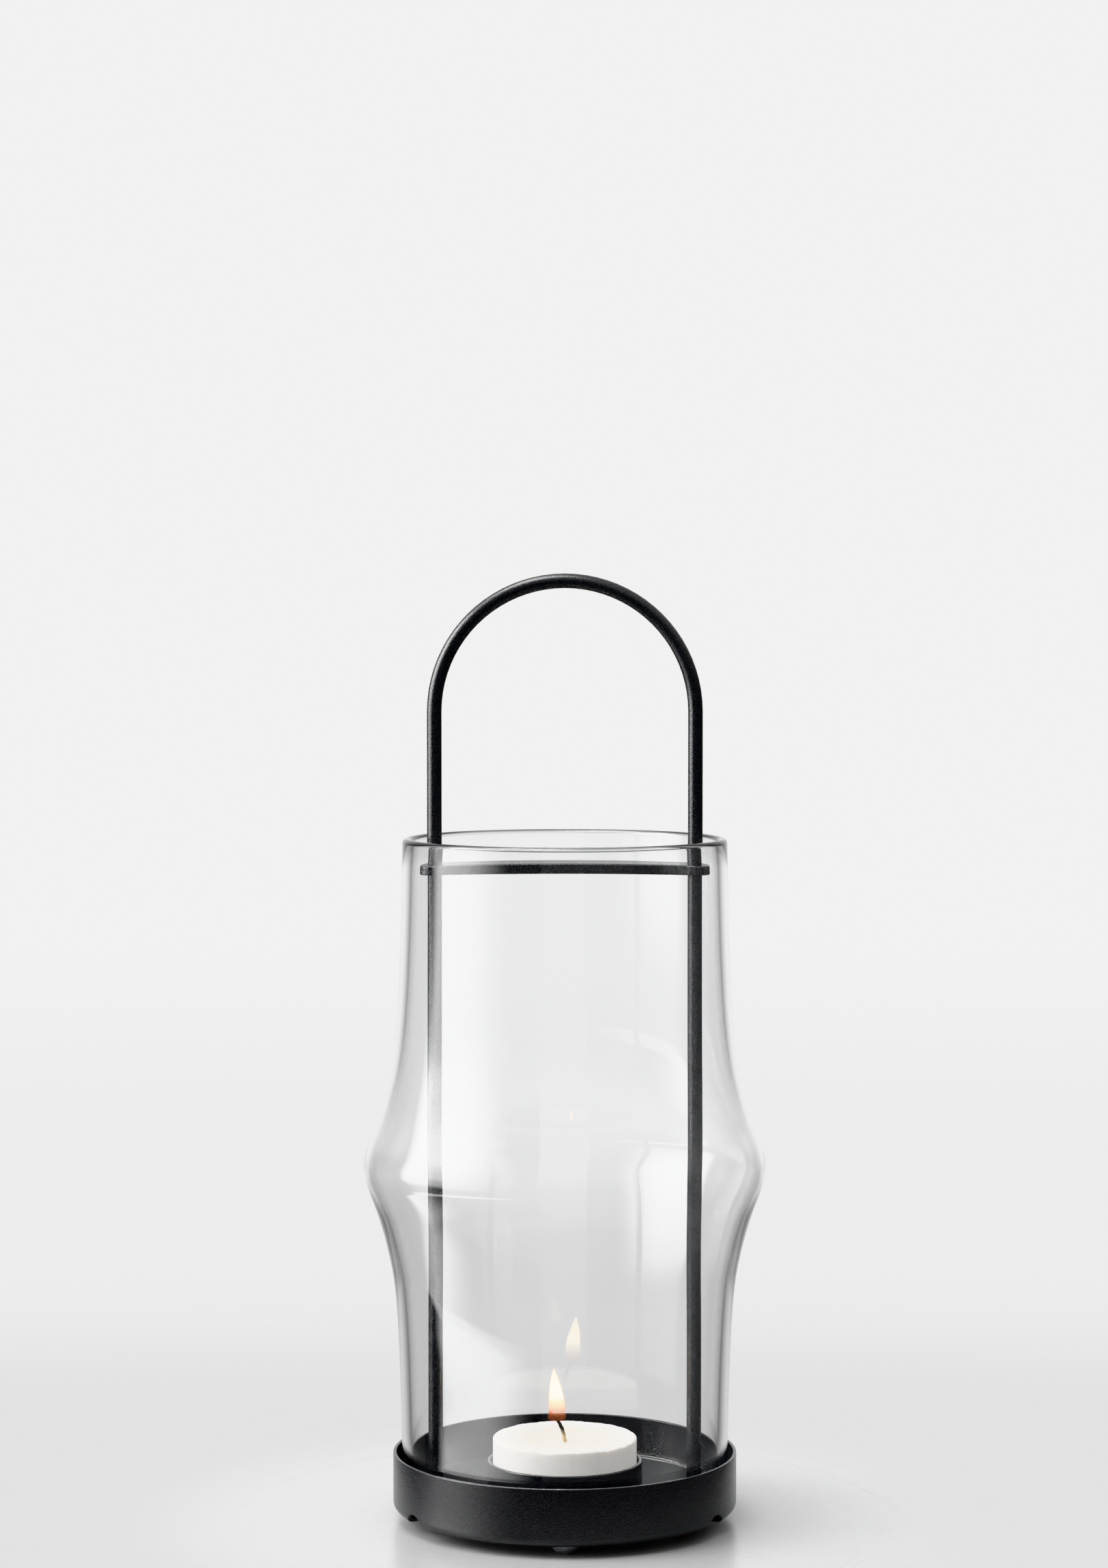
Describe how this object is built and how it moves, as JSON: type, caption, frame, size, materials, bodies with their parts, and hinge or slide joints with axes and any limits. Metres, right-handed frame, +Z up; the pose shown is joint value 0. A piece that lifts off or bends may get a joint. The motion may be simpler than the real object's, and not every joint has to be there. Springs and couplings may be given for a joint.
{
  "type": "candle lantern",
  "caption": "Candle lantern: round steel tray on soft feet, a ring for a tealight, a bent rod handle with a tie bar, and a lift-off blown glass shade with a bulge.",
  "frame": {"origin": "centre of the flats on which the three feet stand, on the lantern's axis", "axes": "+Z up along the lantern's axis; the handle's two legs stand at -X and +X; the front foot points to -Y"},
  "size_m": [0.1058, 0.1058, 0.2491],
  "materials": {
    "black_powder_coat": "fine grained matt black powder coat",
    "clear_glass": "clear blown glass, fire-polished rim",
    "candle_wax": "translucent white paraffin wax",
    "burnt_wick": "charred cotton braid",
    "clear_silicone": "clear soft silicone",
    "zinc_plated_steel": "bright zinc plate",
    "tinned_sheet": "bright tinplate"
  },
  "bodies": {
    "stand": {"base_tray": "black_powder_coat", "floor_plate": "black_powder_coat", "candle_ring": "black_powder_coat", "handle_bow": "black_powder_coat", "crossbar": "black_powder_coat", "foot_front": "clear_silicone", "foot_right": "clear_silicone", "foot_left": "clear_silicone", "spacer_left": "zinc_plated_steel", "spacer_right": "zinc_plated_steel", "washer_left": "zinc_plated_steel", "washer_right": "zinc_plated_steel", "nut_left": "zinc_plated_steel", "nut_right": "zinc_plated_steel"},
    "shade": {"glass_shade": "clear_glass"},
    "tealight": {"tealight_wax": "candle_wax", "wick": "burnt_wick", "wick_tab": "tinned_sheet"}
  },
  "joints": [
    {"name": "shade_lift", "type": "slide", "parent": "stand", "child": "shade", "axis": [0, 0, 1], "range_m": [0, 0.245]},
    {"name": "tealight_lift", "type": "slide", "parent": "stand", "child": "tealight", "axis": [0, 0, 1], "range_m": [0, 0.04]}
  ]
}
